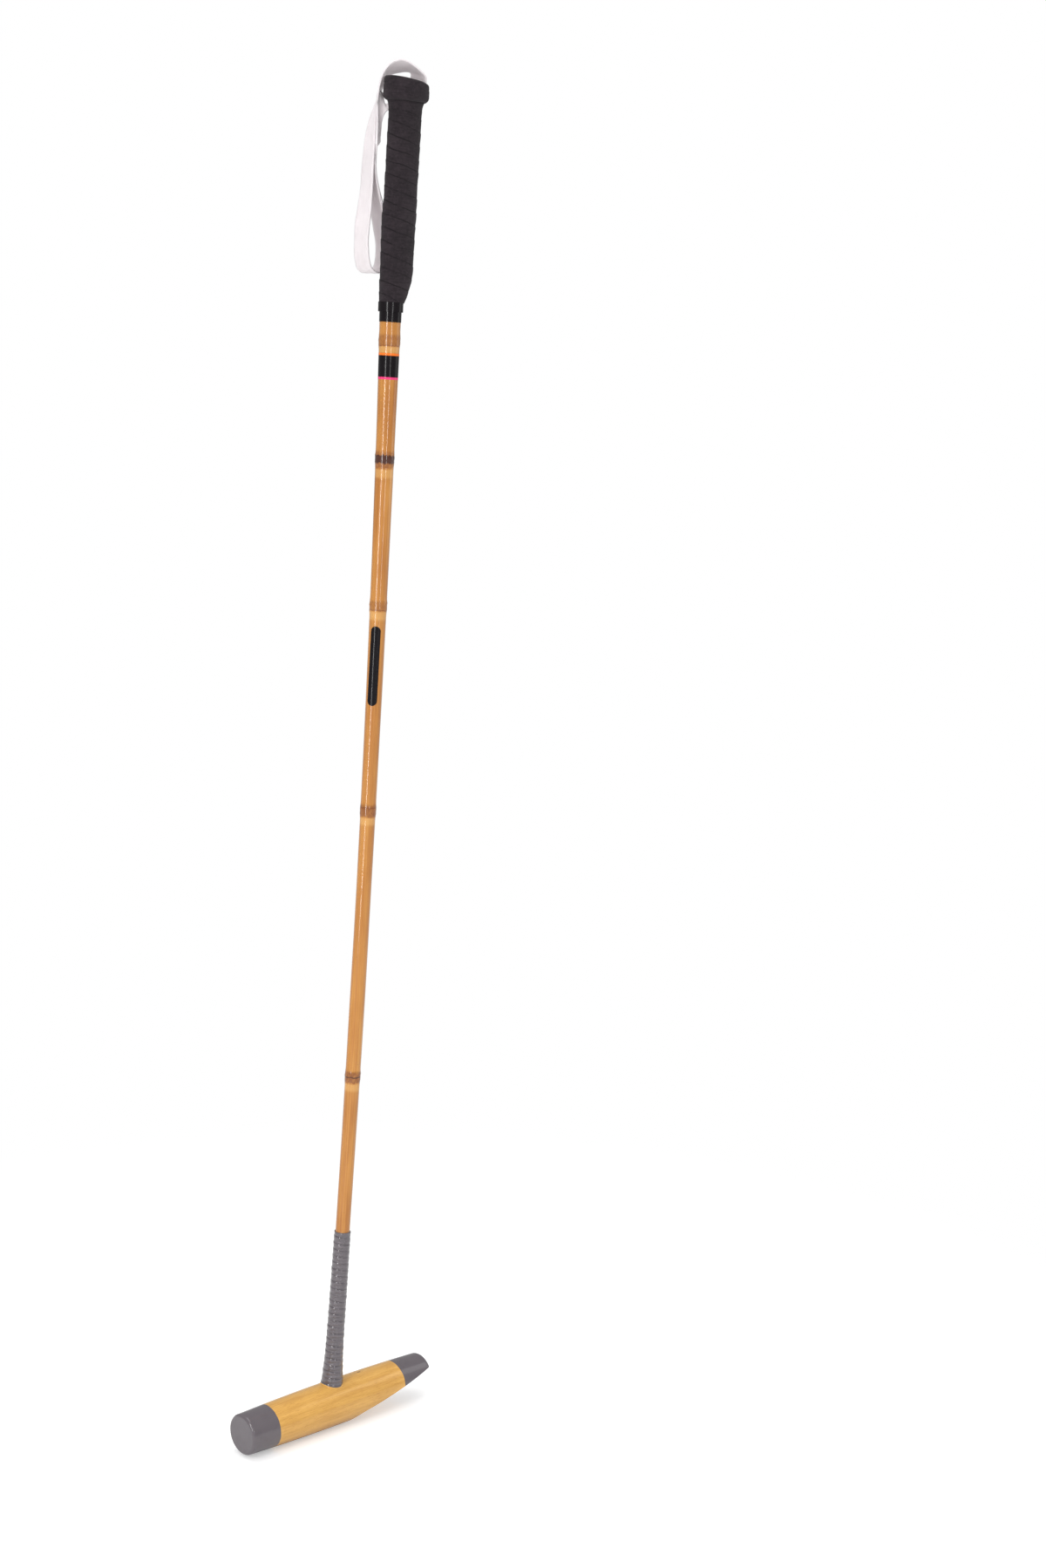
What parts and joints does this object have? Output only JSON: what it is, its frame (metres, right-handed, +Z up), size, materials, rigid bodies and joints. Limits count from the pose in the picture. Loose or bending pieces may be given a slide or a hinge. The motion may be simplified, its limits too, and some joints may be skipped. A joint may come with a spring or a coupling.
{
  "type": "polo mallet",
  "caption": "Cane-shafted mallet for striking a ball from horseback: cigar-shaped hardwood head on a slim bowed cane, painted binding, oval tape-wound grip with flared knob, and a webbing wrist sling.",
  "frame": {"origin": "on the ground under the middle of the foot of the cane, where it comes out flush with the underside of the head", "axes": "+Z up, square to the ground that the head lies flat on; +X along the head towards its planed toe; the cane leans 4.47 degrees towards +X"},
  "size_m": [0.2399, 0.0623, 1.3326],
  "materials": {
    "head_wood": "lacquered golden hardwood, both ends dipped in grey paint",
    "cane": "lacquered natural cane with darker joints",
    "grip_wood": "bare hardwood",
    "grip_cloth": "black cotton tape",
    "end_tape": "gloss black tape",
    "binding": "cloth band under grey gloss paint",
    "varnish": "grey paint over varnish",
    "sling_web": "white webbing",
    "stripe_black": "black film",
    "stripe_orange": "orange film",
    "stripe_pink": "pink film",
    "label": "plain black label",
    "tack_steel": "steel"
  },
  "bodies": {
    "mallet": {"head": "head_wood", "foot_wedge": "grip_wood", "cane": "cane", "heel_cheek": "grip_wood", "toe_cheek": "grip_wood", "knob_collar": "grip_wood", "knob_tape": "grip_cloth", "grip_underlay": "grip_cloth", "grip_tape": "grip_cloth", "end_tape": "end_tape", "stripe_line_lower": "stripe_pink", "stripe_band": "stripe_black", "stripe_line_upper": "stripe_orange", "cane_label": "label", "binding_bed": "binding", "foot_binding": "binding", "foot_fillet": "varnish", "sling_crown": "sling_web", "sling_tail": "sling_web", "sling_tacks": "tack_steel"},
    "sling": {"sling_loop": "sling_web"}
  },
  "joints": [
    {"name": "sling_swing", "type": "hinge", "parent": "mallet", "child": "sling", "pos_m": [0.0787, 0.027, 1.24666], "axis": [0, 1, 0], "range_deg": [0, 85]}
  ]
}
